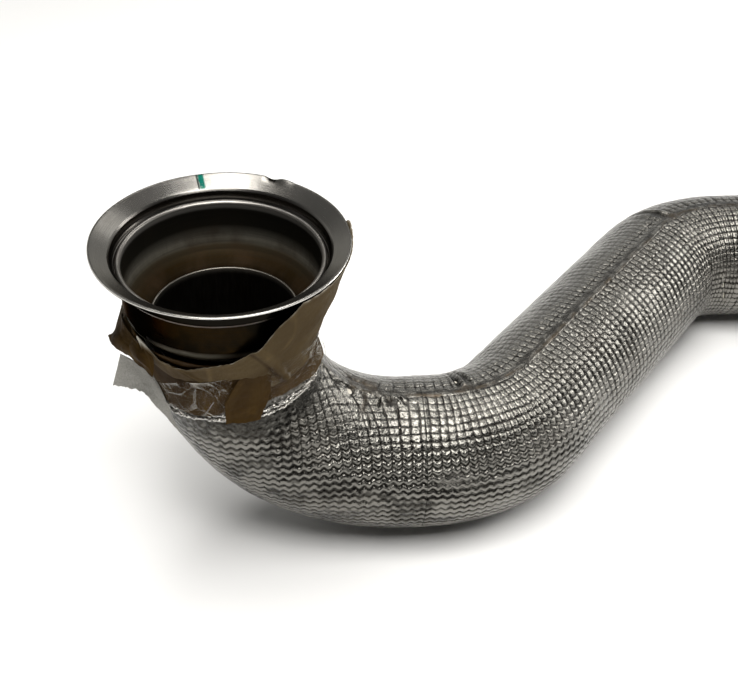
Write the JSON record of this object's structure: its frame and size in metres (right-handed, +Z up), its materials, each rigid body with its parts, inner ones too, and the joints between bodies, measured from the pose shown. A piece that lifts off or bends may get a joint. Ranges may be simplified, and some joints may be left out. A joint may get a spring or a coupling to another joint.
{
  "type": "flue elbow",
  "caption": "Insulated exhaust flue elbow: flanged inlet cup, right-angle drop, level S-bend pipe in embossed foil over a fibre mat, paper and tape round the neck.",
  "frame": {"origin": "bottom centre of the whole object's box, on the surface that the level run lies on", "axes": "+Z up, along the inlet flange's axis out of the cup; +X along the outlet pipe, out of the outlet flange; +Y completes the right-handed frame, towards the side the S-bend steps to"},
  "size_m": [0.6458, 0.4024, 0.2618],
  "materials": {
    "satin_steel": "satin stamped stainless steel",
    "heated_steel": "polished stainless steel with brown heat tint",
    "weld_metal": "rippled weld bead, lightly tinted",
    "pipe_steel": "stainless tube, heat darkened",
    "fibre_mat": "needled glass fibre mat",
    "embossed_foil": "bright embossed stainless foil with a woven dimple pattern",
    "bright_foil": "bright crimped stainless foil",
    "kraft_paper": "matt brown kraft paper, creased",
    "clear_tape": "clear packing tape, wrinkled",
    "dusty_tape": "clear packing tape, dulled by dust"
  },
  "bodies": {
    "root": {"inlet_flange": "satin_steel", "inlet_cup": "heated_steel", "weld_flange_cup": "weld_metal", "weld_cup_pipe": "weld_metal", "pipe_inlet_elbow": "pipe_steel", "pipe_entry_bend": "pipe_steel", "pipe_middle": "pipe_steel", "pipe_exit_bend": "pipe_steel", "pipe_outlet": "pipe_steel", "weld_elbow": "weld_metal", "weld_entry_bend": "weld_metal", "weld_exit_bend": "weld_metal", "weld_outlet": "weld_metal", "mat_inlet_front": "fibre_mat", "foil_inlet_front": "embossed_foil", "mat_inlet_rear": "fibre_mat", "foil_inlet_rear": "embossed_foil", "mat_middle_front": "fibre_mat", "foil_middle_front": "embossed_foil", "mat_middle_rear": "fibre_mat", "foil_middle_rear": "embossed_foil", "mat_outlet_front": "fibre_mat", "foil_outlet_front": "embossed_foil", "mat_outlet_rear": "fibre_mat", "foil_outlet_rear": "embossed_foil", "foil_hem_inlet": "bright_foil", "foil_hem_outlet": "bright_foil", "outlet_flange": "satin_steel", "weld_outlet_flange": "weld_metal", "kraft_band": "kraft_paper", "kraft_cone": "kraft_paper", "kraft_tongue": "kraft_paper", "kraft_scrap": "kraft_paper", "tape_right": "clear_tape", "tape_left": "clear_tape", "tape_flap": "dusty_tape"}
  },
  "joints": []
}
